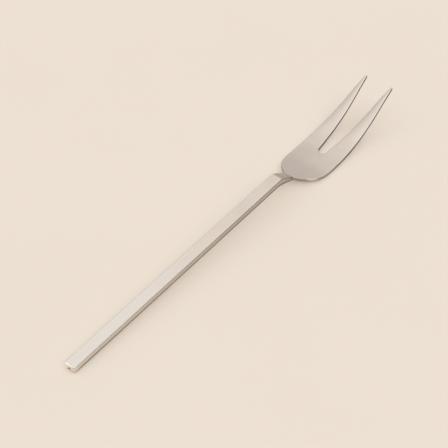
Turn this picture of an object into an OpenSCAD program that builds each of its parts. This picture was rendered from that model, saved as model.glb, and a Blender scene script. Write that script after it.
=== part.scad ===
// Serving fork, forged in one piece and lying as it rests on a table.
// A straight, flat-sided bar steps down through a cranked neck into a broad flat blade,
// and the blade splits into two tines that curve up to blunt points.
// The fork is drawn along X with the bar's top face at z = 0, then tilted and set down.

/* [Handle] */
// Length of the straight bar, from its free end to the neck
handle_length = 153.5; // [110:0.5:200]
// Width of the bar
handle_width = 6.3; // [4:0.1:9]
// Thickness of the bar
handle_thickness = 3.8; // [2.6:0.1:6]
// Rounding along the bar's long edges
handle_edge_radius = 0.5; // [0.2:0.05:0.9]
// Rounding of the free end's two corners, seen from above
handle_corner_radius = 1.6; // [0.8:0.1:1.9]
// Rounding of the free end's upper and lower edges
handle_end_radius = 0.7; // [0.3:0.05:0.9]

/* [End hole] */
// Diameter of the small blind hole in the free end
end_hole_diameter = 1.2; // [0.8:0.1:1.4]
// Depth of the blind hole
end_hole_depth = 5; // [2:0.5:20]

/* [Neck] */
// Length of the sloping neck between the bar and the blade
neck_length = 9.2; // [6:0.1:14]
// Drop of the upper face along the neck
neck_drop = 6.1; // [3:0.1:9]
// Width of the neck where it meets the blade
neck_width = 5.5; // [3.5:0.1:8]
// Depth of the neck where it meets the blade, measured upright
neck_depth = 2.5; // [1.8:0.1:4.5]
// How far back under the bar the neck's lower face begins
neck_underside_lead = 4; // [1:0.5:10]

/* [Blade] */
// Widest part of the blade
blade_width = 24.8; // [18:0.2:34]
// Length of the rounded shoulders, from the neck to the widest place
shoulder_length = 18.8; // [12:0.1:28]
// Thickness of the blade
blade_thickness = 1.65; // [1.2:0.05:2.5]
// Rounding along the blade's and tines' edges
blade_edge_radius = 0.45; // [0.1:0.05:0.55]
// Distance from the neck to the heel, where the blade has almost levelled out
heel_reach = 8.8; // [7:0.1:14]
// Drop of the heel below the bar's top face
heel_drop = 9.6; // [9.2:0.05:10.8]
// Distance from the neck to the lowest place of the blade
bowl_reach = 25.8; // [20:0.1:34]
// Drop of the lowest place below the bar's top face
bowl_drop = 11.35; // [10.9:0.05:14]

/* [Tines] */
// Distance from the neck to the end of the gap between the tines
gap_reach = 26.9; // [20:0.1:34]
// Distance from the neck to the tips
tip_reach = 77.8; // [60:0.1:110]
// Width of the gap at its closed, rounded end
gap_root_width = 4.7; // [2:0.1:6]
// Width of the gap halfway along the tines
gap_middle_width = 9.1; // [7:0.05:12]
// Width of the gap between the two tips
gap_tip_width = 15; // [12:0.1:20]
// Width of each tine halfway along
tine_middle_width = 6.3; // [4.5:0.05:8]
// Width of each tine at its blunt tip
tip_width = 1.1; // [0.8:0.05:2]
// Thickness of each tine at its tip
tip_thickness = 1.5; // [0.8:0.05:1.8]
// Height of the tips above the bar's top face
tip_rise = 1.55; // [-4:0.05:8]
// Steepest rise of the tines, in mm up per mm along
tine_slope = 0.41; // [0.3:0.01:0.6]
// Rise of the tines at the very tip, in mm up per mm along
tip_slope = 0.27; // [0.1:0.01:0.5]
// Distance back from the tips to the steepest place
steepest_setback = 14; // [10:0.5:22]
// Height of the tips above the steepest place
steepest_fall = 5; // [3.5:0.05:7]

/* [Hidden] */

// Segments in each rounded edge, and stations in each stretch of the length
EDGE_STEPS = 4;
END_STEPS = 6;
NECK_STEPS = 6;
SHOULDER_STEPS = 16;
BLADE_STEPS = 4;
ROOT_STEPS = 8;
TINE_STEPS = 34;
TIP_STEPS = 5;
HOLE_SEGMENTS = 32;
// How far the drilled hole's cutter stands out of the end
CUT_OVERLAP = 1;
// The neck's slope that is left just past its end, on the upper and on the lower face
NECK_TOP_EASE = 0.72;
NECK_UNDER_EASE = 0.6;
// The heel's slope, in multiples of the mean fall from the heel to the bowl
HEEL_EASE = 2.7;
// Power of the shoulders' curve: the higher it is, the sooner they reach the blade's full width
SHOULDER_FULLNESS = 2.8;
// How fast the tines' outer edges draw in, halfway along and at the tips
OUTLINE_MIDDLE_SLOPE = -0.083;
OUTLINE_TIP_SLOPE = -0.1;
// How fast the gap's sides open out, past its closed end, halfway along and at the tips
GAP_ROOT_SLOPE = 0.12;
GAP_MIDDLE_SLOPE = 0.09;
GAP_TIP_SLOPE = 0.125;
// Least distance between two neighbouring sections, and from the last section to the tip
LEAST_STEP = 0.05;
TIP_FLAT = 0.02;
// Share of a narrow section's width or thickness that one edge's rounding may take
ROUNDING_SHARE = 0.42;

// Places along the fork
neck_end = handle_length + neck_length;
heel_x = neck_end + heel_reach;
bowl_x = neck_end + bowl_reach;
widest_x = neck_end + shoulder_length;
gap_x = neck_end + gap_reach;
tip_x = neck_end + tip_reach;
middle_x = (gap_x + tip_x) / 2;
steepest_x = tip_x - steepest_setback;
neck_under_x = handle_length - neck_underside_lead;

// A knot of a curve is [place, value, slope arriving, slope leaving]
function smooth_knot(x, value, slope) = [x, value, slope, slope];
function crease(x, value, arriving, leaving) = [x, value, arriving, leaving];

// Value of the cubic that joins knot a to knot b, at the place x
function cubic(a, b, x) =
  let (run = b[0] - a[0], u = (x - a[0]) / run)
  a[1] * (2 * u^3 - 3 * u^2 + 1) + b[1] * (3 * u^2 - 2 * u^3)
  + run * (a[3] * (u^3 - 2 * u^2 + u) + b[2] * (u^3 - u^2));

// Slope of the same cubic
function cubic_slope(a, b, x) =
  let (run = b[0] - a[0], u = (x - a[0]) / run)
  (b[1] - a[1]) / run * (6 * u - 6 * u^2) + a[3] * (3 * u^2 - 4 * u + 1) + b[2] * (3 * u^2 - 2 * u);

// Index of the knot at the start of the stretch that holds x
function stretch(knots, x) = max([0, for (i = [1 : len(knots) - 2]) if (x > knots[i][0]) i]);
function value_at(knots, x) = let (i = stretch(knots, x)) cubic(knots[i], knots[i + 1], x);
function slope_at(knots, x) = let (i = stretch(knots, x)) cubic_slope(knots[i], knots[i + 1], x);

// How much a convex corner of radius r draws the surface in, at the distance d from the end
function drawn_in(r, d) = d >= r ? 0 : r - sqrt(r^2 - (r - d)^2);

// Side profile of the upper face
heel_slope = -HEEL_EASE * (bowl_drop - heel_drop) / (bowl_x - heel_x);
neck_slope = -neck_drop / neck_length;
TOP = [
  smooth_knot(0, 0, 0),
  crease(handle_length, 0, 0, neck_slope),
  crease(neck_end, -neck_drop, neck_slope, NECK_TOP_EASE * neck_slope),
  smooth_knot(heel_x, -heel_drop, heel_slope),
  smooth_knot(bowl_x, -bowl_drop, 0),
  smooth_knot(steepest_x, tip_rise - steepest_fall, tine_slope),
  smooth_knot(tip_x, tip_rise, tip_slope)
];

// Thickness of the plate from the heel to the tips, square to its face
PLATE = [
  smooth_knot(heel_x, blade_thickness, 0),
  smooth_knot(bowl_x, blade_thickness, 0),
  smooth_knot(tip_x, tip_thickness, (tip_thickness - blade_thickness) / (tip_x - bowl_x))
];
function plate_depth(x) = value_at(PLATE, x) * sqrt(1 + slope_at(TOP, x)^2);

// Side profile of the lower face of the bar and the neck, as far as the heel
UNDERSIDE = [
  smooth_knot(0, -handle_thickness, 0),
  smooth_knot(neck_under_x, -handle_thickness, 0),
  smooth_knot(neck_end, -neck_drop - neck_depth, NECK_UNDER_EASE * neck_slope),
  smooth_knot(heel_x, -heel_drop - plate_depth(heel_x), heel_slope)
];

function top_at(x) = value_at(TOP, x) - drawn_in(handle_end_radius, x);
function underside_at(x) =
  x > heel_x ? value_at(TOP, x) - plate_depth(x) : value_at(UNDERSIDE, x) + drawn_in(handle_end_radius, x);

// Half-width of the blade's outline from its widest place to the tips
OUTLINE = [
  smooth_knot(widest_x, blade_width / 2, 0),
  smooth_knot(middle_x, gap_middle_width / 2 + tine_middle_width, OUTLINE_MIDDLE_SLOPE),
  smooth_knot(tip_x, gap_tip_width / 2 + tip_width, OUTLINE_TIP_SLOPE)
];

// The gap's closed end is a round of the root's width, and its sides open out from there
root_radius = gap_root_width / 2;
root_end = gap_x + root_radius;
GAP = [
  smooth_knot(root_end, root_radius, GAP_ROOT_SLOPE),
  smooth_knot(middle_x, gap_middle_width / 2, GAP_MIDDLE_SLOPE),
  smooth_knot(tip_x, gap_tip_width / 2, GAP_TIP_SLOPE)
];

// Half-width of the solid outline at x, in the bar, the neck, the shoulders and the blade
function bar_half_width(x) = handle_width / 2 - drawn_in(handle_corner_radius, x);
function neck_half_width(x) =
  (handle_width + (neck_width - handle_width) * (x - handle_length) / neck_length) / 2;
function shoulder_half_width(x) =
  let (left = (widest_x - x) / shoulder_length)
  (neck_width + (blade_width - neck_width) * (1 - left^SHOULDER_FULLNESS)) / 2;
function blade_half_width(x) = value_at(OUTLINE, x) - drawn_in(tip_width / 2, tip_x - x);
function half_width(x) =
  x <= handle_length ? bar_half_width(x)
  : x <= neck_end ? neck_half_width(x)
  : x <= widest_x ? shoulder_half_width(x)
  : blade_half_width(x);

// Half-width of the gap between the tines at x
function half_gap(x) =
  x <= gap_x ? 0
  : x < root_end ? sqrt(root_radius^2 - (root_end - x)^2)
  : value_at(GAP, x) + drawn_in(tip_width / 2, tip_x - x);

// Places of the sections, closer together where the outline turns
function eased(a, b, steps) = [for (i = [1 : steps]) a + (b - a) * (1 - cos(90 * i / steps))];
function easing_out(a, b, steps) = [for (i = [1 : steps]) a + (b - a) * sin(90 * i / steps)];
function even(a, b, steps) = [for (i = [1 : steps]) a + (b - a) * i / steps];
end_length = max(handle_corner_radius, handle_end_radius);
tip_end = tip_x - tip_width / 2;
SHOULDER_AND_BLADE = concat(
  eased(neck_end, widest_x, SHOULDER_STEPS), even(widest_x, max(widest_x, gap_x), BLADE_STEPS)
);
BODY_STATIONS = concat(
  [0], eased(0, end_length, END_STEPS),
  [neck_under_x], even(neck_under_x, handle_length, 2), even(handle_length, neck_end, NECK_STEPS),
  [for (x = SHOULDER_AND_BLADE) if (x < gap_x - LEAST_STEP) x], [gap_x]
);
TINE_STATIONS = concat(
  eased(gap_x, root_end, ROOT_STEPS), even(root_end, tip_end, TINE_STEPS),
  easing_out(tip_end, tip_x - TIP_FLAT, TIP_STEPS)
);
STATIONS = concat(BODY_STATIONS, TINE_STATIONS);
ROOT_STATION = len(BODY_STATIONS) - 1;

// Points of a quarter round about [y, z], with the radii ry and rz, from one angle to the next
function quarter(y, z, ry, rz, from) =
  [for (i = [0 : EDGE_STEPS]) let (a = from - 90 * i / EDGE_STEPS) [y + ry * cos(a), z + rz * sin(a)]];
function without_first(list) = [for (i = [1 : len(list) - 1]) list[i]];
function without_last(list) = [for (i = [0 : len(list) - 2]) list[i]];

// Rounding of the long edges at x, which changes evenly from the bar to the heel
function edge_radius_at(x) =
  let (share = min(max((x - handle_length) / (heel_x - handle_length), 0), 1))
  handle_edge_radius + (blade_edge_radius - handle_edge_radius) * share;

// Half of a section at x: over the top, round the outer edge, back underneath, and up the inner wall
function half_section(x) =
  let (
    inner = half_gap(x),
    outer = half_width(x),
    top = top_at(x),
    bottom = underside_at(x),
    r = min(edge_radius_at(x), ROUNDING_SHARE * (outer - inner), ROUNDING_SHARE * (top - bottom)),
    inner_r = inner > 0 ? r : 0,
    ring = concat(
      [[inner + inner_r, top]],
      quarter(outer - r, top - r, r, r, 90),
      quarter(outer - r, bottom + r, r, r, 0),
      quarter(inner + inner_r, bottom + r, inner_r, r, -90),
      without_last(without_first(quarter(inner + inner_r, top - r, inner_r, r, 180)))
    )
  )
  [for (p = ring) [x, p[0], p[1]]];

// Index of the first point of the inner wall, and the number of points in half a section
WALL_START = 2 * EDGE_STEPS + 3;
RING = len(half_section(0));

SECTIONS = [for (x = STATIONS) half_section(x)];
POINTS = concat(
  [for (ring = SECTIONS) for (p = ring) p],
  [for (ring = SECTIONS) for (p = ring) [p[0], -p[1], p[2]]]
);

// The two halves share the points on the middle line, up to the gap's closed end
function point_at(side, station, k) =
  let (shared = station <= ROOT_STATION && (k == 0 || k >= WALL_START))
  (shared ? 0 : side) * len(STATIONS) * RING + station * RING + k;

// Two triangles between neighbouring points of neighbouring sections
function patch(side, station, k) =
  let (
    next = (k + 1) % RING,
    a = point_at(side, station, k),
    b = point_at(side, station, next),
    c = point_at(side, station + 1, next),
    d = point_at(side, station + 1, k)
  )
  side == 0 ? [[a, b, c], [a, c, d]] : [[a, c, b], [a, d, c]];

// The outside all along, the gap's walls past its closed end, and a flat face on each end
LAST_STATION = len(STATIONS) - 1;
OUTSIDE = [
  for (side = [0, 1], i = [0 : LAST_STATION - 1], k = [0 : WALL_START - 1])
    for (triangle = patch(side, i, k)) triangle
];
GAP_WALLS = [
  for (side = [0, 1], i = [ROOT_STATION : LAST_STATION - 1], k = [WALL_START : RING - 1])
    for (triangle = patch(side, i, k)) triangle
];
BAR_END = concat(
  [for (k = [WALL_START : -1 : 0]) point_at(0, 0, k)],
  [for (k = [1 : WALL_START - 1]) point_at(1, 0, k)]
);
TINE_ENDS = [
  [for (k = [0 : RING - 1]) point_at(0, LAST_STATION, k)],
  [for (k = [RING - 1 : -1 : 0]) point_at(1, LAST_STATION, k)]
];
FACES = concat(OUTSIDE, GAP_WALLS, [BAR_END], TINE_ENDS);

// At rest the fork stands on the lower edge of the bar's free end and on the bowl of the blade
foot_x = end_length;
foot_z = -handle_thickness;
rest_tilt = max([for (x = STATIONS) if (x > heel_x) atan((foot_z - underside_at(x)) / (x - foot_x))]);
function rested(p) = [
  p[0] * cos(rest_tilt) - p[2] * sin(rest_tilt),
  p[1],
  p[0] * sin(rest_tilt) + p[2] * cos(rest_tilt)
];
RESTED = [for (p = POINTS) rested(p)];
floor_z = min([for (p = RESTED) p[2]]);
middle_of_length = (min([for (p = RESTED) p[0]]) + max([for (p = RESTED) p[0]])) / 2;

module end_hole() {
  translate([-CUT_OVERLAP, 0, -handle_thickness / 2])
    rotate([0, 90, 0])
      cylinder(d = end_hole_diameter, h = end_hole_depth + CUT_OVERLAP, $fn = HOLE_SEGMENTS);
}

module serving_fork() {
  color([0.80, 0.78, 0.75])
    translate([-middle_of_length, 0, -floor_z])
      rotate([0, -rest_tilt, 0])
        difference() {
          polyhedron(points = POINTS, faces = FACES, convexity = 6);
          end_hole();
        }
}

serving_fork();
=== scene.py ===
"""Scene of a one-piece serving fork in satin steel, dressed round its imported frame.

The fork is modelled as it was forged and ground: one flat plan is cut out, its rim is rounded,
it is given its thickness, and the whole is set to the side profile and laid down as it rests.
Sizes are in millimetres until the finished mesh is scaled to metres.
"""
import logging
import math
from dataclasses import dataclass
from enum import Enum
from functools import cached_property

import bmesh
import bpy
from mathutils import Matrix, Vector


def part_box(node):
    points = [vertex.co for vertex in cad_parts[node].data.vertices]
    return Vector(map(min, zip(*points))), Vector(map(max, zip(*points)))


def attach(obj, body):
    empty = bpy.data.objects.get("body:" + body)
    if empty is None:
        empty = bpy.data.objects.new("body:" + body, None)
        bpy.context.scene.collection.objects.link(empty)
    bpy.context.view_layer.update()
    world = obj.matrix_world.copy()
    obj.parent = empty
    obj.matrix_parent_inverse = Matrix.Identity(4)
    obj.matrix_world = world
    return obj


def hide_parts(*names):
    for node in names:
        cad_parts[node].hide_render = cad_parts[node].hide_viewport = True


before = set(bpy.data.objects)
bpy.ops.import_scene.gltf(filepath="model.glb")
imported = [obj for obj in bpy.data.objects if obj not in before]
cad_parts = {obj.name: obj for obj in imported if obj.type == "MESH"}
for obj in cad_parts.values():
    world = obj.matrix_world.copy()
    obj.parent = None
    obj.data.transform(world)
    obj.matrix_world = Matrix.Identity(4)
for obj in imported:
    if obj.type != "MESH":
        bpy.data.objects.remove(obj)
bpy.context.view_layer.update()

log = logging.getLogger("serving_fork")
MM = 0.001
SAME_PLACE = 1e-4
WELD = 1e-5
QUARTER_TURN = math.pi / 2
PHOTO_PIXELS = 448
Pair = tuple[float, float]
Triple = tuple[float, float, float]


class Slot(Enum):
    """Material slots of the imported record."""

    STEEL = "steel"


class Level(Enum):
    """Rows of the slab from its upper face to its underside."""

    TOP = 0
    WALL_TOP = -1
    WALL_UPPER = -2
    WALL_LOWER = -3
    WALL_FOOT = -4
    UNDERSIDE = -5


def srgb(red: float, green: float, blue: float) -> tuple[float, float, float, float]:
    """Linear colour of an 8-bit display colour.

    Args:
        red: Red from 0 to 255.
        green: Green from 0 to 255.
        blue: Blue from 0 to 255.

    Returns:
        The linear colour with full alpha.
    """
    def linear(value: float) -> float:
        """Linear value of one channel."""
        share = value / 255
        return share / 12.92 if share <= 0.04045 else ((share + 0.055) / 1.055) ** 2.4

    return linear(red), linear(green), linear(blue), 1.0


@dataclass(frozen=True)
class Knot:
    """A place on a profile, with its value and its slope on either side."""

    place: float
    value: float
    arriving: float
    leaving: float


def smooth_knot(place: float, value: float, slope: float) -> Knot:
    """A knot that the profile passes without a crease."""
    return Knot(place, value, slope, slope)


@dataclass(frozen=True)
class Profile:
    """A curve along the fork, made of cubics between its knots."""

    knots: tuple[Knot, ...]

    def span(self, x: float) -> tuple[Knot, Knot, float, float]:
        """Finds the cubic that covers x.

        Args:
            x: Place along the fork.

        Returns:
            The knots on either side, the run between them and how far x is along it, from 0 to 1.
        """
        later = [i for i, knot in enumerate(self.knots[1:-1], start=1) if x > knot.place]
        start = max(later, default=0)
        a, b = self.knots[start], self.knots[start + 1]
        run = b.place - a.place
        return a, b, run, (x - a.place) / run

    def value(self, x: float) -> float:
        """Value of the curve.

        Args:
            x: Place along the fork.

        Returns:
            The value there.
        """
        a, b, run, u = self.span(x)
        ends = a.value * (2 * u**3 - 3 * u**2 + 1) + b.value * (3 * u**2 - 2 * u**3)
        return ends + run * (a.leaving * (u**3 - 2 * u**2 + u) + b.arriving * (u**3 - u**2))

    def slope(self, x: float) -> float:
        """Slope of the curve.

        Args:
            x: Place along the fork.

        Returns:
            The slope there.
        """
        a, b, run, u = self.span(x)
        rise = (b.value - a.value) / run * (6 * u - 6 * u**2)
        return rise + a.leaving * (3 * u**2 - 4 * u + 1) + b.arriving * (3 * u**2 - 2 * u)


def drawn_in(radius: float, reach: float) -> float:
    """How much a rounded edge draws the surface in.

    Args:
        radius: Radius of the round.
        reach: Distance in from the edge.

    Returns:
        The distance drawn in.
    """
    if reach >= radius:
        return 0.0
    return radius - math.sqrt(max(radius**2 - (radius - max(reach, 0.0)) ** 2, 0.0))


def share_between(value: float, start: float, end: float) -> float:
    """How far a value has come from start to end, smoothly, from 0 to 1."""
    u = min(max((value - start) / (end - start), 0.0), 1.0)
    return u * u * (3 - 2 * u)


def blend(start: float, end: float, share: float) -> float:
    """The value at a share of the way from start to end."""
    return start + (end - start) * share


def even(start: float, end: float, steps: int) -> list[float]:
    """Evenly spaced places after start, up to end."""
    return [start + (end - start) * i / steps for i in range(1, steps + 1)]


def eased(start: float, end: float, steps: int) -> list[float]:
    """Places after start that are closest together at start."""
    turns = [QUARTER_TURN * i / steps for i in range(1, steps + 1)]
    return [start + (end - start) * (1 - math.cos(turn)) for turn in turns]


def placed(name: str, bm: bmesh.types.BMesh) -> bpy.types.Object:
    """Turns a finished bmesh into an object of the scene.

    Args:
        name: Name of the object and of its mesh.
        bm: The bmesh, which is freed.

    Returns:
        The object.
    """
    mesh = bpy.data.meshes.new(name)
    bm.to_mesh(mesh)
    bm.free()
    made = bpy.data.objects.new(name, mesh)
    bpy.context.scene.collection.objects.link(made)
    return made


@dataclass(frozen=True)
class CutCounts:
    """Numbers of cuts across the plan in each stretch of the fork."""

    bar: int = 50
    above_neck: int = 6
    crease: int = 2
    neck: int = 14
    shoulders: int = 36
    blade: int = 14
    gap_end: int = 14
    tines: int = 110


@dataclass
class ForkShape:
    """Sizes of the fork in millimetres, drawn along X with the bar's upper face at height 0."""

    handle_length: float = 153.5
    handle_width: float = 6.3
    handle_thickness: float = 3.8
    handle_corner_radius: float = 1.6
    end_radius_above: float = 0.9
    end_radius_below: float = 0.45
    neck_length: float = 9.2
    neck_drop: float = 6.1
    neck_width: float = 5.5
    neck_depth: float = 2.5
    neck_underside_lead: float = 4
    blade_width: float = 24.8
    shoulder_length: float = 18.8
    blade_thickness: float = 1.65
    heel_reach: float = 8.8
    heel_drop: float = 9.6
    bowl_reach: float = 25.8
    bowl_drop: float = 11.35
    gap_reach: float = 26.9
    tip_reach: float = 77.8
    gap_root_width: float = 4.7
    gap_middle_width: float = 9.1
    gap_tip_width: float = 15
    tine_middle_width: float = 6.3
    tip_width: float = 1.1
    tip_thickness: float = 1.5
    tip_rise: float = 1.55
    tine_slope: float = 0.41
    tip_slope: float = 0.27
    steepest_setback: float = 14
    steepest_fall: float = 5
    shoulder_fullness: float = 2.8
    neck_top_ease: float = 0.72
    neck_under_ease: float = 0.6
    heel_ease: float = 2.7
    outline_slopes: Pair = (-0.083, -0.1)
    gap_slopes: Triple = (0.12, 0.09, 0.125)
    blade_crown: float = 0.1
    tine_crown: float = 0.045
    crown_run: float = 24
    crease_softness: float = 0.15
    end_room: float = 0.7
    tip_flat: float = 0.02
    cuts: CutCounts = CutCounts()
    tilt_places: int = 400

    def __post_init__(self) -> None:
        """Works out the places along the fork."""
        self.neck_end = self.handle_length + self.neck_length
        self.heel_x = self.neck_end + self.heel_reach
        self.bowl_x = self.neck_end + self.bowl_reach
        self.widest_x = self.neck_end + self.shoulder_length
        self.gap_x = self.neck_end + self.gap_reach
        self.tip_x = self.neck_end + self.tip_reach
        self.middle_x = (self.gap_x + self.tip_x) / 2
        self.root_radius = self.gap_root_width / 2
        self.root_end = self.gap_x + self.root_radius
        self.neck_under_x = self.handle_length - self.neck_underside_lead

    @cached_property
    def top(self) -> Profile:
        """Side profile of the upper face.

        Returns:
            Its height along the fork.
        """
        neck_slope = -self.neck_drop / self.neck_length
        heel_slope = -self.heel_ease * (self.bowl_drop - self.heel_drop) / (self.bowl_x - self.heel_x)
        steepest_x = self.tip_x - self.steepest_setback
        return Profile((
            smooth_knot(0, 0, 0),
            Knot(self.handle_length, 0, 0, neck_slope),
            Knot(self.neck_end, -self.neck_drop, neck_slope, self.neck_top_ease * neck_slope),
            smooth_knot(self.heel_x, -self.heel_drop, heel_slope),
            smooth_knot(self.bowl_x, -self.bowl_drop, 0),
            smooth_knot(steepest_x, self.tip_rise - self.steepest_fall, self.tine_slope),
            smooth_knot(self.tip_x, self.tip_rise, self.tip_slope),
        ))

    @cached_property
    def plate(self) -> Profile:
        """Thickness from the heel to the tips, square to the face.

        Returns:
            The thickness along the fork.
        """
        thinning = (self.tip_thickness - self.blade_thickness) / (self.tip_x - self.bowl_x)
        return Profile((
            smooth_knot(self.heel_x, self.blade_thickness, 0),
            smooth_knot(self.bowl_x, self.blade_thickness, 0),
            smooth_knot(self.tip_x, self.tip_thickness, thinning),
        ))

    @cached_property
    def bar_underside(self) -> Profile:
        """Side profile of the lower face as far as the heel.

        Returns:
            Its height along the fork.
        """
        neck_slope = -self.neck_drop / self.neck_length
        heel_slope = self.top.slope(self.heel_x)
        neck_foot = -self.neck_drop - self.neck_depth
        return Profile((
            smooth_knot(0, -self.handle_thickness, 0),
            smooth_knot(self.neck_under_x, -self.handle_thickness, 0),
            smooth_knot(self.neck_end, neck_foot, self.neck_under_ease * neck_slope),
            smooth_knot(self.heel_x, -self.heel_drop - self.plate_depth(self.heel_x), heel_slope),
        ))

    @cached_property
    def outline(self) -> Profile:
        """Half-width from the blade's widest place to the tips.

        Returns:
            The half-width along the fork.
        """
        middle = self.gap_middle_width / 2 + self.tine_middle_width
        return Profile((
            smooth_knot(self.widest_x, self.blade_width / 2, 0),
            smooth_knot(self.middle_x, middle, self.outline_slopes[0]),
            smooth_knot(self.tip_x, self.gap_tip_width / 2 + self.tip_width, self.outline_slopes[1]),
        ))

    @cached_property
    def gap(self) -> Profile:
        """Half-width of the gap past its rounded end.

        Returns:
            The half-width along the fork.
        """
        return Profile((
            smooth_knot(self.root_end, self.root_radius, self.gap_slopes[0]),
            smooth_knot(self.middle_x, self.gap_middle_width / 2, self.gap_slopes[1]),
            smooth_knot(self.tip_x, self.gap_tip_width / 2, self.gap_slopes[2]),
        ))

    def plate_depth(self, x: float) -> float:
        """Upright depth of the plate at x."""
        return self.plate.value(x) * math.sqrt(1 + self.top.slope(x) ** 2)

    def underside(self, x: float) -> float:
        """Height of the lower face.

        Args:
            x: Place along the fork.

        Returns:
            The height there.
        """
        if x > self.heel_x:
            return self.top.value(x) - self.plate_depth(x)
        return self.bar_underside.value(x)

    def outer(self, x: float) -> float:
        """Half-width of the outline.

        Args:
            x: Place along the fork.

        Returns:
            The half-width there.
        """
        if x <= self.handle_length:
            return self.handle_width / 2
        if x <= self.neck_end:
            share = (x - self.handle_length) / self.neck_length
            return (self.handle_width + (self.neck_width - self.handle_width) * share) / 2
        if x <= self.widest_x:
            left = (self.widest_x - x) / self.shoulder_length
            fullness = 1 - left**self.shoulder_fullness
            return (self.neck_width + (self.blade_width - self.neck_width) * fullness) / 2
        return self.outline.value(x)

    def inner(self, x: float) -> float:
        """Half-width of the gap between the tines.

        Args:
            x: Place along the fork.

        Returns:
            The half-width there, 0 before the gap starts.
        """
        if x <= self.gap_x:
            return 0.0
        if x < self.root_end:
            return math.sqrt(self.root_radius**2 - (self.root_end - x) ** 2)
        return self.gap.value(x)

    def crown_fall(self, x: float, y: float) -> float:
        """How far the ground upper face falls away from its crown, on the blade and on each tine.

        Args:
            x: Place along the fork.
            y: Place across it.

        Returns:
            The fall at that point.
        """
        inner, outer = self.inner(x), self.outer(x)
        on_blade = share_between(x, self.neck_end, self.widest_x)
        on_tines = share_between(x, self.gap_x, self.gap_x + self.crown_run)
        across = min(abs(2 * abs(y) - inner - outer) / (outer - inner), 1.0)
        blade = self.blade_crown * on_blade * (1 - on_tines) * (y / self.blade_width * 2) ** 2
        return blade + self.tine_crown * on_tines * (outer - inner) * across**2

    def stations(self) -> list[float]:
        """Places of the cuts across the plan, closest together where the outline turns.

        Returns:
            The places in order.
        """
        soft = self.crease_softness
        cuts = self.cuts
        return [
            0,
            *even(0, self.neck_under_x, cuts.bar),
            *even(self.neck_under_x, self.handle_length - soft, cuts.above_neck),
            *even(self.handle_length - soft, self.handle_length + soft, cuts.crease),
            *even(self.handle_length + soft, self.neck_end - soft, cuts.neck),
            *even(self.neck_end - soft, self.neck_end + soft, cuts.crease),
            *eased(self.neck_end + soft, self.widest_x, cuts.shoulders),
            *even(self.widest_x, self.gap_x - self.end_room, cuts.blade),
            self.gap_x,
            *eased(self.gap_x, self.root_end, cuts.gap_end),
            *even(self.root_end, self.tip_x - self.end_room, cuts.tines),
            self.tip_x - self.tip_flat,
        ]

    @cached_property
    def rest_tilt(self) -> float:
        """Angle that tips the fork forward until its bowl and the bar's end both touch the table.

        Returns:
            The angle in radians.
        """
        foot_x = self.handle_corner_radius
        foot_z = -self.handle_thickness
        places = even(self.heel_x, self.tip_x, self.tilt_places)
        return max(math.atan((foot_z - self.underside(x)) / (x - foot_x)) for x in places)


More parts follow.
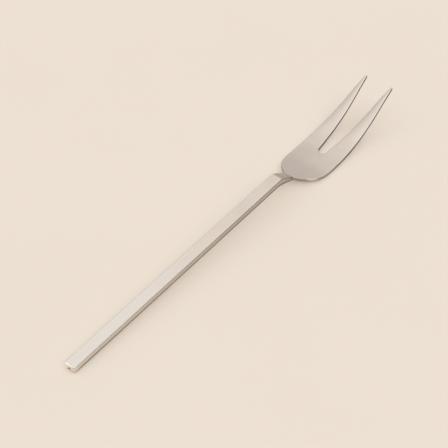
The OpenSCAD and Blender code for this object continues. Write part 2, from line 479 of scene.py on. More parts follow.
@dataclass
class ForkBody:
    """The whole fork: its bar, neck, blade and tines are one piece of steel."""

    shape: ForkShape
    name: str = "serving_fork_body"
    corner_segments: int = 10
    tip_meet: float = 0.05
    rim_plan: float = 0.34
    bar_rim: float = 0.5
    blade_rim: float = 0.42
    rim_steps: int = 7
    rim_hold: float = 0.03
    rim_limit: float = 0.45
    wall_hold: float = 0.05
    cuts_across: int = 5
    seed_x: float = 100
    hole_diameter: float = 1.2
    hole_depth: float = 5
    hole_rim: float = 0.08
    hole_lead: float = 0.1
    hole_point: float = 0.4
    hole_point_share: float = 0.1
    hole_segments: int = 32
    mouth_segments: int = 3
    end_face_area: float = 0.02
    wear_reach: float = 1.2
    edge_wear_share: float = 0.2
    # Painted highlight on the bar's end, fading out over this span along the bar.
    end_highlight_span: Pair = (0.2, 1.4)
    # Painted light: the bar is coloured lighter towards its free end, fading out over this span.
    free_end_light_span: Pair = (25, 125)
    # Where the painted shade on the rims and walls begins along the bar.
    side_start: Pair = (-2.0, 6.0)
    end_rows: tuple[float, ...] = (0.48, 0.62, 0.8, 1.0, 1.3)
    wall_rows: Pair = (0.2, 0.6)
    # Painted shade and dark reflections on the rims and walls: where they begin to darken, and how deep they
    # are on the bar and on the blade.
    bar_turn: Pair = (0.45, 0.95)
    blade_turn: Pair = (0.05, 0.45)
    under_turn: Pair = (0.02, 0.2)
    bar_middle: Pair = (0.04, 0.4)
    bar_middle_ease: float = 0.6
    bar_upper_line: Pair = (0.2, 0.72)
    bar_lower_line: float = 0.95
    blade_side: Pair = (0.58, 0.96)
    blade_side_span: Pair = (-6, 22)
    # Painted highlight on the upper wall of the shoulder on the -Y side: where it starts, is full, fades and
    # ends past the neck.
    shoulder_highlight_span: tuple[float, float, float, float] = (4, 6, 8.5, 11)
    shoulder_highlight_share: float = 0.85
    # Painted shade on the far shoulder's wall.
    far_shoulder_shade: float = 0.9
    # The end's painted highlight fades towards the bar's -Y side over this span, by this share.
    end_highlight_side: Pair = (-0.8, 1.6)
    end_highlight_fade: float = 0.85
    # Painted shade and dark reflection on the neck's facet; painted shade at the tines' root and on the bar
    # just before the neck.
    neck_facet: Pair = (0.55, 0.3)
    facet_lead: float = 2
    facet_fade: float = 3
    root_shade: float = 0.125
    root_rise: Pair = (10, 1)
    root_fall: Pair = (6, 18)
    bar_end_shade: float = 0.05
    bar_end_run: float = 18

    def plan_sheet(self) -> bmesh.types.BMesh:
        """Cuts the flat plan: a grid laid out to the outline, mirrored and joined along the middle.

        Returns:
            The mesh of the plan at height 0.
        """
        places = self.shape.stations()
        bm = bmesh.new()
        last = len(places) - 1
        bmesh.ops.create_grid(bm, x_segments=last, y_segments=1, size=1.0)
        for vertex in bm.verts:
            x = places[round((vertex.co.x + 1) / 2 * last)]
            y = self.shape.outer(x) if vertex.co.y > 0 else self.shape.inner(x)
            vertex.co = Vector((x, y, 0))
        everything = bm.verts[:] + bm.edges[:] + bm.faces[:]
        bmesh.ops.mirror(bm, geom=everything, matrix=Matrix.Identity(4), merge_dist=WELD, axis="Y")
        bmesh.ops.recalc_face_normals(bm, faces=bm.faces[:])
        off_middle = self.shape.handle_width / 4
        bar_corners = [v for v in bm.verts if v.co.x < SAME_PLACE and abs(v.co.y) > off_middle]
        tip_corners = [v for v in bm.verts if v.co.x > places[-1] - SAME_PLACE]
        tip_radius = self.shape.tip_width / 2 - self.tip_meet
        for corners, radius in (
            (bar_corners, self.shape.handle_corner_radius),
            (tip_corners, tip_radius),
        ):
            bmesh.ops.bevel(
                bm, geom=corners, affect="VERTICES", offset=radius, segments=self.corner_segments,
                profile=0.5, material=-1,
            )
        return bm

    def inset_rim(self, bm: bmesh.types.BMesh) -> None:
        """Insets the plan again and again, so that rows of faces follow the outline all round.

        Args:
            bm: The plan; its vertices get their reach from the outline in the layer "reach".
        """
        reach = bm.verts.layers.float.new("reach")
        middle = bm.faces[:]
        for vertex in bm.verts:
            vertex[reach] = 0.0 if vertex.is_boundary else self.shape.blade_width / 2
        done = 0.0
        for row in (*eased(0, self.rim_plan, self.rim_steps), self.rim_plan + self.rim_hold):
            made = bmesh.ops.inset_region(
                bm, faces=middle, use_boundary=True, use_even_offset=True,
                thickness=row - done, depth=0,
            )["faces"]
            kept = set(middle)
            for vertex in {vertex for face in made for vertex in face.verts}:
                if any(face in kept for face in vertex.link_faces):
                    vertex[reach] = row
            done = row

    def cut_across(self, bm: bmesh.types.BMesh) -> None:
        """Cuts each half of the plan into rows that run its whole length.

        Args:
            bm: The plan after its rim is inset.
        """
        for side in (1, -1):
            aim = Vector((self.seed_x, self.shape.handle_width / 4 * side, 0))
            seed = min(
                (edge for edge in bm.edges if abs(edge.verts[0].co.x - edge.verts[1].co.x) < SAME_PLACE),
                key=lambda edge: ((edge.verts[0].co + edge.verts[1].co) / 2 - aim).length,
            )
            ring, waiting = {}, [seed]
            while waiting:
                edge = waiting.pop()
                if edge in ring:
                    continue
                ring[edge] = True
                for loop in edge.link_loops:
                    if len(loop.face.verts) == 4:
                        waiting.append(loop.link_loop_next.link_loop_next.edge)
            bmesh.ops.subdivide_edges(bm, edges=list(ring), cuts=self.cuts_across, use_grid_fill=True)
        for place in self.end_rows:
            bmesh.ops.bisect_plane(
                bm, geom=bm.verts[:] + bm.edges[:] + bm.faces[:], dist=WELD,
                plane_co=(place, 0, 0), plane_no=(1, 0, 0),
            )

    def give_thickness(self, bm: bmesh.types.BMesh) -> None:
        """Extrudes the plan into a slab, and cuts its wall so that there is a row at each level.

        Args:
            bm: The plan with its rim and rows.
        """
        made = bmesh.ops.extrude_face_region(
            bm, geom=bm.faces[:] + bm.edges[:] + bm.verts[:], use_keep_orig=True
        )["geom"]
        lower = [item for item in made if isinstance(item, bmesh.types.BMVert)]
        bmesh.ops.translate(bm, vec=(0, 0, Level.UNDERSIDE.value), verts=lower)
        upright = [
            edge for edge in bm.edges if abs(edge.verts[0].co.z - edge.verts[1].co.z) > SAME_PLACE
        ]
        bmesh.ops.subdivide_edges(bm, edges=upright, cuts=len(Level) - 2, use_grid_fill=True)
        bmesh.ops.recalc_face_normals(bm, faces=bm.faces[:])

    def shoulder_highlight(self, x: float, y: float, level: Level) -> float:
        """How much painted highlight the upper part of the shoulder's wall on the -Y side has, from 0 to 1.

        Args:
            x: Place along the fork.
            y: Place across it.
            level: Row of the slab.

        Returns:
            The share of the painted highlight.
        """
        if y > 0 or level in (Level.WALL_LOWER, Level.WALL_FOOT, Level.UNDERSIDE):
            return 0.0
        start, full, fading, end = (self.shape.neck_end + along for along in self.shoulder_highlight_span)
        return self.shoulder_highlight_share * share_between(x, start, full) * (1 - share_between(x, fading, end))

    def side_shade(self, x: float, y: float, reach: float, level: Level) -> float:
        """How much painted shade and dark reflection shows: least on the faces, most on the blade's walls.

        Args:
            x: Place along the fork.
            y: Place across it.
            reach: Distance in from the outline, in plan.
            level: Row of the slab.

        Returns:
            The share of the side's finish, from 0 to 1.
        """
        shape = self.shape
        along_bar = min(x / shape.neck_end, 1.0)
        # Painted shade and dark reflection along the bar: a dark line at its upper rim, a lighter middle, and
        # the darkest line at its lower rim.
        if level in (Level.TOP, Level.WALL_TOP):
            bar = blend(*self.bar_upper_line, along_bar)
        elif level in (Level.WALL_UPPER, Level.WALL_LOWER):
            bar = blend(*self.bar_middle, along_bar**self.bar_middle_ease)
        else:
            bar = self.bar_lower_line
        blade = blend(*self.blade_side, share_between(x - shape.widest_x, *self.blade_side_span))
        # Painted shade on the blade's walls: darkest in the gap, deep on the far shoulder, lighter where one
        # shoulder has its painted highlight.
        in_gap = x > shape.gap_x - SAME_PLACE and 2 * abs(y) < shape.inner(x) + shape.outer(x)
        if in_gap:
            blade = self.blade_side[1]
        elif y > 0:
            blade = max(blade, self.far_shoulder_shade)
        blade *= 1 - self.shoulder_highlight(x, y, level)
        on_blade = share_between(x, shape.handle_length, shape.heel_x)
        turned = 2 / math.pi * math.asin(min(max(1 - reach / self.rim_plan, 0.0), 1.0))
        start, end = self.under_turn
        if level is Level.TOP:
            start, end = (blend(*turns, on_blade) for turns in zip(self.bar_turn, self.blade_turn))
        side = blend(bar, blade, on_blade) * share_between(turned, start, end)
        side *= share_between(x, *self.side_start)
        return max(side, self.face_shade(x) if level is Level.TOP else 0.0)

    def face_shade(self, x: float) -> float:
        """How much painted shade the upper face has: by and on the neck and at the tines' root.

        Args:
            x: Place along the fork.

        Returns:
            The share of the painted shade, from 0 to 1.
        """
        shape = self.shape
        bar_end, neck_end, soft = shape.handle_length, shape.neck_end, shape.crease_softness
        on_facet = share_between(x, bar_end - soft, bar_end + soft)
        on_facet *= 1 - share_between(x, neck_end - soft, neck_end + self.facet_fade * soft)
        near_neck = share_between(x, bar_end - self.bar_end_run, bar_end - soft) * (x < bar_end)
        at_root = share_between(x, *(shape.bowl_x - back for back in self.root_rise))
        at_root *= 1 - share_between(x, *(shape.gap_x + along for along in self.root_fall))
        facet = blend(*self.neck_facet, share_between(x, bar_end + self.facet_lead, neck_end))
        return max(self.bar_end_shade * near_neck, facet * on_facet, self.root_shade * at_root)

    def wear_and_highlight_at(self, x: float, y: float, level: Level) -> float:
        """How bright the steel is made: worn along its edges, with a painted highlight on the bar's end and
        on one shoulder.

        Args:
            x: Place along the fork.
            y: Place across it.
            level: Row of the slab.

        Returns:
            The share of worn brightness and painted highlight, from 0 to 1.
        """
        shape = self.shape
        across = abs(y)
        from_gap = across - shape.inner(x) if x > shape.gap_x else shape.blade_width
        from_edge = max(min(shape.outer(x) - across, from_gap, x), 0)
        edge_wear = max(1 - from_edge / self.wear_reach, 0) ** 2
        # Painted highlight on the bar's end, weaker on its -Y side.
        end_highlight = 1 - share_between(x, *self.end_highlight_span)
        end_highlight *= 1 - self.end_highlight_fade * share_between(-y, *self.end_highlight_side)
        return max(self.edge_wear_share * edge_wear, end_highlight, self.shoulder_highlight(x, y, level) * edge_wear)

    def set_heights(self, bm: bmesh.types.BMesh) -> None:
        """Sets the slab to the side profile, with its rim rounded, and notes worn edges, painted highlights,
        painted light and painted shade for the finish.

        Args:
            bm: The slab.
        """
        shape = self.shape
        reach = bm.verts.layers.float["reach"]
        straight = bm.verts.layers.float_vector.new("straightened")
        wear_and_highlight = bm.verts.layers.float.new("wear_and_highlight")
        free_end_light = bm.verts.layers.float.new("free_end_light")
        side = bm.verts.layers.float.new("side")
        for vertex in bm.verts:
            x = vertex.co.x
            level = Level(round(vertex.co.z))
            top = shape.top.value(x) - shape.crown_fall(x, vertex.co.y)
            underside = shape.underside(x)
            share = min(max((x - shape.handle_length) / shape.heel_reach, 0), 1)
            rim = min(blend(self.bar_rim, self.blade_rim, share), self.rim_limit * (top - underside))
            drop = rim / self.rim_plan * drawn_in(self.rim_plan, vertex[reach])
            end_above = drawn_in(shape.end_radius_above, x)
            end_below = drawn_in(shape.end_radius_below, x)
            wall_top = top - math.hypot(rim, end_above) - self.wall_hold
            wall_foot = underside + math.hypot(rim, end_below) + self.wall_hold
            height = {
                Level.TOP: top - math.hypot(drop, end_above),
                Level.WALL_TOP: wall_top,
                Level.WALL_UPPER: blend(wall_top, wall_foot, self.wall_rows[0]),
                Level.WALL_LOWER: blend(wall_top, wall_foot, self.wall_rows[1]),
                Level.WALL_FOOT: wall_foot,
                Level.UNDERSIDE: underside + math.hypot(drop, end_below),
            }[level]
            # Worn edges with painted highlights, painted light towards the bar's free end, and painted shade
            # and dark reflections, noted for the finish.
            vertex[wear_and_highlight] = self.wear_and_highlight_at(x, vertex.co.y, level)
            vertex[free_end_light] = 1 - share_between(x, *self.free_end_light_span)
            vertex[side] = self.side_shade(x, vertex.co.y, vertex[reach], level)
            vertex[straight] = Vector((x, vertex.co.y, height - top)) * MM
            vertex.co.z = height

    def drill_end(self, bm: bmesh.types.BMesh) -> None:
        """Sinks the small blind hole into the bar's end, with a softened mouth and a conical bottom.

        Args:
            bm: The fork before it is laid down.
        """
        radius = self.hole_diameter / 2
        centre = Vector((0, 0, -self.shape.handle_thickness / 2))
        at_end = [face for face in bm.faces if all(abs(v.co.x) < SAME_PLACE for v in face.verts)]
        end_faces = [face for face in at_end if face.calc_area() > self.end_face_area]
        edges = dict.fromkeys(edge for face in end_faces for edge in face.edges)
        around = [edge for edge in edges if sum(face in end_faces for face in edge.link_faces) == 1]
        bmesh.ops.delete(bm, geom=end_faces, context="FACES")
        turn = Matrix.Rotation(QUARTER_TURN, 4, "Y")
        mouth = bmesh.ops.create_circle(
            bm, cap_ends=False, radius=radius + self.hole_rim, segments=self.hole_segments,
            matrix=Matrix.Translation(centre) @ turn,
        )["verts"]
        ring = list(dict.fromkeys(edge for vertex in mouth for edge in vertex.link_edges))
        bmesh.ops.triangle_fill(
            bm, edges=around + ring, use_beauty=True, use_dissolve=False, normal=(-1, 0, 0)
        )
        steps = [
            (self.hole_rim * (1 - math.cos(angle)), radius + self.hole_rim * (1 - math.sin(angle)))
            for angle in even(0, QUARTER_TURN, self.mouth_segments)
        ]
        steps += [
            (self.hole_rim + self.hole_lead, radius),
            (self.hole_depth - self.hole_point, radius),
            (self.hole_depth, radius * self.hole_point_share),
        ]
        size = radius + self.hole_rim
        for depth, target in steps:
            made = bmesh.ops.extrude_edge_only(bm, edges=ring)["geom"]
            verts = [item for item in made if isinstance(item, bmesh.types.BMVert)]
            ring = [item for item in made if isinstance(item, bmesh.types.BMEdge)]
            place = Matrix.Translation(-Vector((verts[0].co.x, centre.y, centre.z)))
            bmesh.ops.scale(bm, vec=(1, target / size, target / size), space=place, verts=verts)
            bmesh.ops.translate(bm, vec=(depth - verts[0].co.x, 0, 0), verts=verts)
            size = target
        bmesh.ops.edgeloop_fill(bm, edges=ring)

    def lay_down(self, bm: bmesh.types.BMesh) -> None:
        """Tips the fork as it rests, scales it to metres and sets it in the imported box.

        Args:
            bm: The finished fork in its own frame.
        """
        low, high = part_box("serving_fork")
        bmesh.ops.rotate(
            bm, cent=(0, 0, 0), matrix=Matrix.Rotation(-self.shape.rest_tilt, 3, "Y"), verts=bm.verts[:]
        )
        bmesh.ops.scale(bm, vec=(MM, MM, MM), verts=bm.verts[:])
        lowest = [min(v.co[axis] for v in bm.verts) for axis in range(3)]
        highest = [max(v.co[axis] for v in bm.verts) for axis in range(3)]
        shift = Vector(((low.x + high.x - lowest[0] - highest[0]) / 2, 0, low.z - lowest[2]))
        bmesh.ops.translate(bm, vec=shift, verts=bm.verts[:])

    def put_in_order(self, bm: bmesh.types.BMesh) -> None:
        """Sorts the mesh by place, because the operators leave it in another order on each run.

        Args:
            bm: The fork where it lies.
        """
        for items, key in (
            (bm.verts, lambda vertex: vertex.co[:]),
            (bm.faces, lambda face: sorted(vertex.index for vertex in face.verts)),
        ):
            for order, item in enumerate(sorted(items, key=key)):
                item.index = order
            items.sort()

    def build(self) -> bpy.types.Object:
        """Makes the fork's object.

        Returns:
            The object, at the origin, with its place in its mesh.
        """
        bm = self.plan_sheet()
        self.inset_rim(bm)
        self.cut_across(bm)
        self.give_thickness(bm)
        self.set_heights(bm)
        self.drill_end(bm)
        bmesh.ops.remove_doubles(bm, verts=bm.verts[:], dist=WELD)
        bmesh.ops.recalc_face_normals(bm, faces=bm.faces[:])
        self.lay_down(bm)
        self.put_in_order(bm)
        for face in bm.faces:
            face.smooth = True
        return placed(self.name, bm)

    def dress(self, body: bpy.types.Object, steel: bpy.types.Material) -> None:
        """Gives the fork its finish and ties it to the frame.

        Args:
            body: The fork's object.
            steel: Its material.
        """
        body.data.materials.append(steel)
        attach(body, "root")
        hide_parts("serving_fork")


@dataclass(frozen=True)
class GroupSocket:
    """A socket of a shader node group."""

    name: str
    kind: str
    default: float | tuple[float, ...] | None = None
    is_output: bool = False


@dataclass
class ShaderGroup:
    """A shader node group under construction."""

    name: str
    sockets: tuple[GroupSocket, ...]

    def __post_init__(self) -> None:
        """Makes the group with its named inputs and outputs."""
        self.tree = bpy.data.node_groups.new(self.name, "ShaderNodeTree")
        for socket in self.sockets:
            way = "OUTPUT" if socket.is_output else "INPUT"
            made = self.tree.interface.new_socket(
                name=socket.name, in_out=way, socket_type=socket.kind
            )
            if socket.default is not None:
                made.default_value = socket.default
        self.source = self.tree.nodes.new("NodeGroupInput").outputs
        self.sink = self.tree.nodes.new("NodeGroupOutput").inputs
        self.wires = Wiring(self.tree)


@dataclass
class Wiring:
    """Adds nodes to a tree, with their inputs given as values or as sockets to link."""

    tree: bpy.types.NodeTree

    def add(
        self, kind: str, inputs: dict[str | int, object] | None = None, **settings: object
    ) -> bpy.types.Node:
        """Adds one node.

        Args:
            kind: The node's type.
            inputs: Values or output sockets, by input name or index.
            **settings: The node's own properties.

        Returns:
            The node.
        """
        node = self.tree.nodes.new(kind)
        for key, value in settings.items():
            setattr(node, key, value)
        for key, value in (inputs or {}).items():
            if isinstance(value, bpy.types.NodeSocket):
                self.tree.links.new(value, node.inputs[key])
            else:
                node.inputs[key].default_value = value
        return node

    def math(self, operation: str, *values: object) -> bpy.types.NodeSocket:
        """Adds a Math node.

        Args:
            operation: The operation's name.
            *values: Its inputs in order.

        Returns:
            Its output.
        """
        return self.add("ShaderNodeMath", dict(enumerate(values)), operation=operation).outputs[0]

    def mix(
        self, share: object, first: object, second: object, kind: str = "RGBA"
    ) -> bpy.types.NodeSocket:
        """Adds a Mix node.

        Args:
            share: How much of the second input shows.
            first: The first colour or number.
            second: The second colour or number.
            kind: The node's data type.

        Returns:
            The mixed colour or number.
        """
        inputs = {"Factor": share, "A": first, "B": second}
        return self.add("ShaderNodeMix", inputs, data_type=kind).outputs["Result"]

    def attribute(self, name: str, output: str = "Fac") -> bpy.types.NodeSocket:
        """Reads an attribute of the mesh."""
        return self.add("ShaderNodeAttribute", attribute_name=name).outputs[output]

    def group(self, name: str, inputs: dict[str, object]) -> bpy.types.Node:
        """Adds one of the scene's own node groups, with its inputs given by name."""
        return self.add("ShaderNodeGroup", inputs, node_tree=bpy.data.node_groups[name])

    def facing(self, way: bpy.types.NodeSocket, direction: Triple) -> bpy.types.NodeSocket:
        """How nearly a way points in a direction: their dot product."""
        made = self.add("ShaderNodeVectorMath", {0: way, 1: direction}, operation="DOT_PRODUCT")
        return made.outputs["Value"]

    def ramp(
        self,
        value: bpy.types.NodeSocket,
        low: float,
        high: float,
        out_low: float = 0.0,
        out_high: float = 1.0,
    ) -> bpy.types.NodeSocket:
        """Maps a value from one range to another, smoothly and clamped.

        Args:
            value: The socket to map.
            low: Start of its range.
            high: End of its range.
            out_low: Result at the start.
            out_high: Result at the end.

        Returns:
            The mapped value.
        """
        inputs = {
            "Value": value, "From Min": low, "From Max": high, "To Min": out_low, "To Max": out_high
        }
        return self.add("ShaderNodeMapRange", inputs, interpolation_type="SMOOTHSTEP").outputs["Result"]

    def noise(
        self, vector: bpy.types.NodeSocket, scale: Triple, detail: float
    ) -> bpy.types.NodeSocket:
        """Noise that is stretched by a scale along each axis.

        Args:
            vector: Where the noise is read.
            scale: Cells per metre along each axis.
            detail: Number of finer layers.

        Returns:
            The noise, from 0 to 1.
        """
        mapped = self.add("ShaderNodeMapping", {"Vector": vector, "Scale": scale})
        inputs = {"Vector": mapped.outputs["Vector"], "Scale": 1.0, "Detail": detail}
        return self.add("ShaderNodeTexNoise", inputs).outputs["Fac"]


COLOUR = "NodeSocketColor"
NUMBER = "NodeSocketFloat"
PLACE = "NodeSocketVector"
FINE_GRAIN = (1.0, 3.0)
BROAD_GRAIN = (0.17, 2.0)
HAIR_CELLS = (90, 5200, 5200)
HAIR_SPAN = (0.70, 0.76)
PATCH_CELLS = (160, 160, 160)
PATCH_SPAN = (0.48, 0.62)
MOTTLE_SPAN = (0.35, 0.7)


def brushed_grain() -> None:
    """Makes the node group of the fine lines that the last polishing belt leaves along the piece."""
    group = ShaderGroup("brushed_grain", (
        GroupSocket("Vector", PLACE),
        GroupSocket("Along", NUMBER, 60.0),
        GroupSocket("Across", NUMBER, 9000.0),
        GroupSocket("Strength", NUMBER, 1.0),
        GroupSocket("Height", NUMBER, is_output=True),
        GroupSocket("Tone", NUMBER, is_output=True),
    ))
    wires = group.wires
    along, across = group.source["Along"], group.source["Across"]
    scale = wires.add("ShaderNodeCombineXYZ", {"X": along, "Y": across, "Z": across}).outputs["Vector"]
    stretched = wires.add(
        "ShaderNodeVectorMath", {0: group.source["Vector"], 1: scale}, operation="MULTIPLY"
    ).outputs["Vector"]
    fine, broad = (
        wires.add("ShaderNodeTexNoise", {"Vector": stretched, "Scale": size, "Detail": detail}).outputs["Fac"]
        for size, detail in (FINE_GRAIN, BROAD_GRAIN)
    )
    height = wires.math("MULTIPLY", fine, group.source["Strength"])
    wires.tree.links.new(height, group.sink["Height"])
    wires.tree.links.new(broad, group.sink["Tone"])


def fine_scratches() -> None:
    """Makes the node group of sparse hairline marks of use, turned as a whole by its Turn."""
    group = ShaderGroup("fine_scratches", (
        GroupSocket("Vector", PLACE),
        GroupSocket("Turn", PLACE, (0.0, 0.0, 0.0)),
        GroupSocket("Amount", NUMBER, 0.5),
        GroupSocket("Mask", NUMBER, is_output=True),
    ))
    wires = group.wires
    turned = wires.add(
        "ShaderNodeVectorRotate", {"Vector": group.source["Vector"], "Rotation": group.source["Turn"]},
        rotation_type="EULER_XYZ",
    ).outputs["Vector"]
    hair = wires.ramp(wires.noise(turned, HAIR_CELLS, 1.0), *HAIR_SPAN)
    patch = wires.ramp(wires.noise(turned, PATCH_CELLS, 2.0), *PATCH_SPAN)
    mask = wires.math("MULTIPLY", wires.math("MULTIPLY", hair, patch), group.source["Amount"])
    wires.tree.links.new(mask, group.sink["Mask"])


def soft_mottle() -> None:
    """Makes the node group of a slow change of tone, as of handling on metal or pulp in card."""
    group = ShaderGroup("soft_mottle", (
        GroupSocket("Vector", PLACE),
        GroupSocket("Scale", NUMBER, 40.0),
        GroupSocket("Base", COLOUR, (0.8, 0.8, 0.8, 1)),
        GroupSocket("Tint", COLOUR, (0.7, 0.7, 0.7, 1)),
        GroupSocket("Amount", NUMBER, 0.5),
        GroupSocket("Color", COLOUR, is_output=True),
        GroupSocket("Mask", NUMBER, is_output=True),
    ))
    wires = group.wires
    broad = wires.add("ShaderNodeTexNoise", {
        "Vector": group.source["Vector"],
        "Scale": group.source["Scale"],
        "Detail": 4.0,
        "Roughness": 0.55,
    }).outputs["Fac"]
    mask = wires.math("MULTIPLY", wires.ramp(broad, *MOTTLE_SPAN), group.source["Amount"])
    mixed = wires.mix(mask, group.source["Base"], group.source["Tint"])
    wires.tree.links.new(mixed, group.sink["Color"])
    wires.tree.links.new(mask, group.sink["Mask"])


@dataclass(frozen=True)
class SatinSteel:
    """Satin stainless steel: brushed lengthways, brighter on worn edges, with painted highlights on the bar's
    end and one shoulder, painted light towards the bar's free end, and painted shade and dark reflections on
    its sides and creases.
    """

    name: str = "satin_steel"
    base: Triple = (226, 215, 206)
    tint: Triple = (219, 208, 199)
    # Worn edges and painted highlights.
    bright: Triple = (252, 247, 241)
    # Painted light on the bar, lighter towards its free end.
    free_end_light: Triple = (231, 224, 217)
    # Painted shade and dark reflections of the walls, rims and creases.
    painted_shade: Triple = (96, 88, 80)
    mottle_scale: float = 45.0
    mottle_amount: float = 0.7
    scratch_turns: tuple[Triple, ...] = ((0.0, 0.0, 0.5), (0.0, 0.0, -0.9))
    grain_span: Pair = (0.3, 0.7)
    roughness: float = 0.19
    worn_roughness: float = 0.16
    grain_roughness: float = 0.03
    mottle_roughness: float = 0.03
    scratch_roughness: float = 0.1
    scratch_depth: float = 0.6
    bump_strength: float = 0.35
    grain_height: float = 0.00001

    def material(self) -> bpy.types.Material:
        """Builds the material.

        Returns:
            The steel.
        """
        made = bpy.data.materials.new(self.name)
        made.use_nodes = True
        tree = made.node_tree
        wires = Wiring(tree)
        shader = tree.nodes["Principled BSDF"]
        place = wires.attribute("straightened", "Vector")
        wear_and_highlight = wires.attribute("wear_and_highlight")
        grain = wires.group("brushed_grain", {"Vector": place})
        mottle = wires.group("soft_mottle", {
            "Vector": place,
            "Scale": self.mottle_scale,
            "Base": srgb(*self.base),
            "Tint": srgb(*self.tint),
            "Amount": self.mottle_amount,
        })
        marks = [
            wires.group("fine_scratches", {"Vector": place, "Turn": turn}).outputs["Mask"]
            for turn in self.scratch_turns
        ]
        scratched = wires.math("MAXIMUM", *marks)
        colour = mottle.outputs["Color"]
        # Painted light towards the bar's free end, worn edges with painted highlights, and painted shade and
        # dark reflections are mixed over the mottled steel in turn.
        for share, tone in (
            (wires.attribute("free_end_light"), self.free_end_light),
            (wear_and_highlight, self.bright),
            (wires.attribute("side"), self.painted_shade),
        ):
            colour = wires.mix(share, colour, srgb(*tone))
        tree.links.new(colour, shader.inputs["Base Color"])
        smoothest = self.roughness - self.grain_roughness
        roughest = self.roughness + self.grain_roughness
        rough = wires.ramp(grain.outputs["Tone"], *self.grain_span, smoothest, roughest)
        for mask, more in (
            (mottle.outputs["Mask"], self.mottle_roughness),
            (scratched, self.scratch_roughness),
        ):
            rough = wires.math("ADD", rough, wires.math("MULTIPLY", mask, more))
        worn = wires.mix(wear_and_highlight, rough, self.worn_roughness, "FLOAT")
        tree.links.new(worn, shader.inputs["Roughness"])
        depth = wires.math("MULTIPLY", scratched, self.scratch_depth)
        bump = wires.add("ShaderNodeBump", {
            "Height": wires.math("SUBTRACT", grain.outputs["Height"], depth),
            "Strength": self.bump_strength,
            "Distance": self.grain_height,
        })
        tree.links.new(bump.outputs["Normal"], shader.inputs["Normal"])
        shader.inputs["Metallic"].default_value = 1.0
        return made


@dataclass
class Tabletop:
    """The plain pale floor that the fork lies on."""

    name: str = "floor"
    material_name: str = "pale_card"
    half_size: float = 3.0
    segments: int = 4
    colour: Triple = (198, 189, 179)
    flecks: Triple = (196, 187, 177)
    mottle_scale: float = 9.0
    mottle_amount: float = 0.5
    roughness: float = 0.9
    specular: float = 0.1
    background: Triple = (237, 225, 211)
    background_share: float = 0.36

    def build(self) -> None:
        """Makes the floor and marks it as stage."""
        bm = bmesh.new()
        bmesh.ops.create_grid(
            bm, x_segments=self.segments, y_segments=self.segments, size=self.half_size
        )
        floor = placed(self.name, bm)
        floor.data.materials.append(self.material())

    def material(self) -> bpy.types.Material:
        """Builds the floor's matt card finish.

        Returns:
            The material.
        """
        made = bpy.data.materials.new(self.material_name)
        made.use_nodes = True
        tree = made.node_tree
        wires = Wiring(tree)
        shader = tree.nodes["Principled BSDF"]
        mottle = wires.group("soft_mottle", {
            "Vector": wires.add("ShaderNodeTexCoord").outputs["Object"],
            "Scale": self.mottle_scale,
            "Base": srgb(*self.colour),
            "Tint": srgb(*self.flecks),
            "Amount": self.mottle_amount,
        })
        tree.links.new(mottle.outputs["Color"], shader.inputs["Base Color"])
        shader.inputs["Roughness"].default_value = self.roughness
        shader.inputs["Specular IOR Level"].default_value = self.specular
        shader.inputs["Emission Color"].default_value = srgb(*self.background)
        ray = wires.add("ShaderNodeLightPath").outputs
        seen = wires.math("MAXIMUM", ray["Is Camera Ray"], ray["Is Glossy Ray"])
        seen = wires.math("MAXIMUM", seen, ray["Is Transmission Ray"])
        share = wires.math("MULTIPLY", seen, self.background_share)
        tree.links.new(share, shader.inputs["Emission Strength"])
        return made


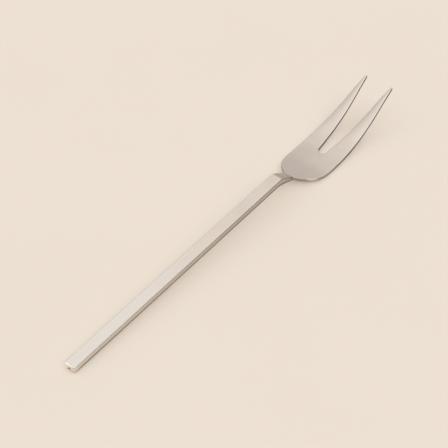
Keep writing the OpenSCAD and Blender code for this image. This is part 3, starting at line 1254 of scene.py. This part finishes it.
@dataclass
class StudioLight:
    """A soft studio: a dome, brighter overhead, a soft panel in front, and a broad, weak key behind."""

    tint: Triple = (1.0, 0.97, 0.94)
    high_tint: Triple = (1.0, 0.99, 0.965)
    high_span: Pair = (0.74, 0.86)
    dome: tuple[Pair, ...] = (
        (0.0, 0.62), (0.25, 0.68), (0.45, 0.68), (0.62, 0.73),
        (0.7, 0.92), (0.78, 1.07), (0.88, 1.0), (1.0, 1.03),
    )
    brightest: float = 1.1
    shaded_way: Triple = (0.65, -0.76, 0.0)
    shaded_span: Pair = (0.5, 0.85)
    shaded_top: Pair = (0.35, 0.7)
    shade: float = 0.85
    dim_way: Triple = (-0.3, 0.95, 0.0)
    dim_span: Pair = (0.25, 0.65)
    dim: float = 0.3
    panel_way: Triple = (-0.1, -0.58, 0.81)
    panel_span: Pair = (0.88, 0.96)
    panel: float = 0.9
    key_way: Triple = (-0.48, 0.68, 0.55)
    key_strength: float = 0.4
    key_spread: float = 38

    def build(self) -> None:
        """Makes the world and the key lamp."""
        world = bpy.data.worlds.new("studio")
        bpy.context.scene.world = world
        world.use_nodes = True
        wires = Wiring(world.node_tree)
        way = wires.add("ShaderNodeTexCoord").outputs["Generated"]
        height = wires.add("ShaderNodeSeparateXYZ", {"Vector": way}).outputs["Z"]
        ramp = wires.add("ShaderNodeValToRGB", {"Fac": height})
        ramp.color_ramp.interpolation = "EASE"
        stops = ramp.color_ramp.elements
        while len(stops) < len(self.dome):
            stops.new(0.5)
        for stop, (place, level) in zip(stops, self.dome):
            stop.position = place
            stop.color = (level / self.brightest,) * 3 + (1,)
        dome = wires.math("MULTIPLY", ramp.outputs["Color"], self.brightest)
        side = wires.ramp(wires.facing(way, self.shaded_way), *self.shaded_span, 0.0, self.shade)
        below = wires.ramp(height, *self.shaded_top, 1.0, 0.0)
        left = wires.math("SUBTRACT", 1.0, wires.math("MULTIPLY", side, below))
        undimmed = wires.ramp(wires.facing(way, self.dim_way), *self.dim_span, 1.0, 1.0 - self.dim)
        panel = wires.ramp(wires.facing(way, self.panel_way), *self.panel_span, 0.0, self.panel)
        total = wires.math("MULTIPLY", wires.math("MULTIPLY", dome, left), undimmed)
        total = wires.math("ADD", total, panel)
        high = wires.ramp(height, *self.high_span)
        tint = wires.mix(high, (*self.tint, 1), (*self.high_tint, 1))
        back = world.node_tree.nodes["Background"]
        wires.tree.links.new(tint, back.inputs["Color"])
        wires.tree.links.new(total, back.inputs["Strength"])
        lamp = bpy.data.lights.new("key", "SUN")
        lamp.energy = self.key_strength
        lamp.angle = math.radians(self.key_spread)
        lamp.color = self.tint
        key = bpy.data.objects.new("key", lamp)
        key.rotation_euler = Vector(self.key_way).to_track_quat("Z", "Y").to_euler()
        bpy.context.scene.collection.objects.link(key)


@dataclass
class ViewCamera:
    """Camera at the photograph's viewing angle."""

    aim: Triple = (-0.991, 5.888, 0.0)
    distance: float = 876.517
    heading: float = 51.2012
    elevation: float = 43.9167
    roll: float = 0.3221
    lens: float = 143.047
    sensor_width: float = 36
    half_pixel: float = 0.5 / PHOTO_PIXELS
    clip: Pair = (0.05, 20)

    def build(self) -> None:
        """Makes the camera and sets it as the scene's."""
        data = bpy.data.cameras.new("camera")
        data.lens = self.lens
        data.sensor_width = self.sensor_width
        data.shift_x, data.shift_y = -self.half_pixel, self.half_pixel
        data.clip_start, data.clip_end = self.clip
        camera = bpy.data.objects.new("camera", data)
        turn = (
            Matrix.Rotation(-math.radians(self.heading), 4, "Z")
            @ Matrix.Rotation(math.radians(90 - self.elevation), 4, "X")
            @ Matrix.Rotation(math.radians(self.roll), 4, "Z")
        )
        back = turn @ Vector((0, 0, self.distance))
        camera.matrix_world = Matrix.Translation((Vector(self.aim) + back) * MM) @ turn
        bpy.context.scene.collection.objects.link(camera)
        bpy.context.scene.camera = camera


def main() -> None:
    """Builds the camera, the light, the floor and the fork, in that order."""
    logging.basicConfig(level=logging.INFO, format="%(name)s: %(message)s")
    bpy.context.scene.view_settings.view_transform = "Standard"
    ViewCamera().build()
    log.info("camera set")
    StudioLight().build()
    log.info("light set")
    for group in (brushed_grain, fine_scratches, soft_mottle):
        group()
    Tabletop().build()
    log.info("floor laid")
    fork = ForkBody(ForkShape())
    body = fork.build()
    fork.dress(body, SatinSteel().material())
    log.info("%s: %d faces", body.name, len(body.data.polygons))


if __name__ == "__main__":
    main()
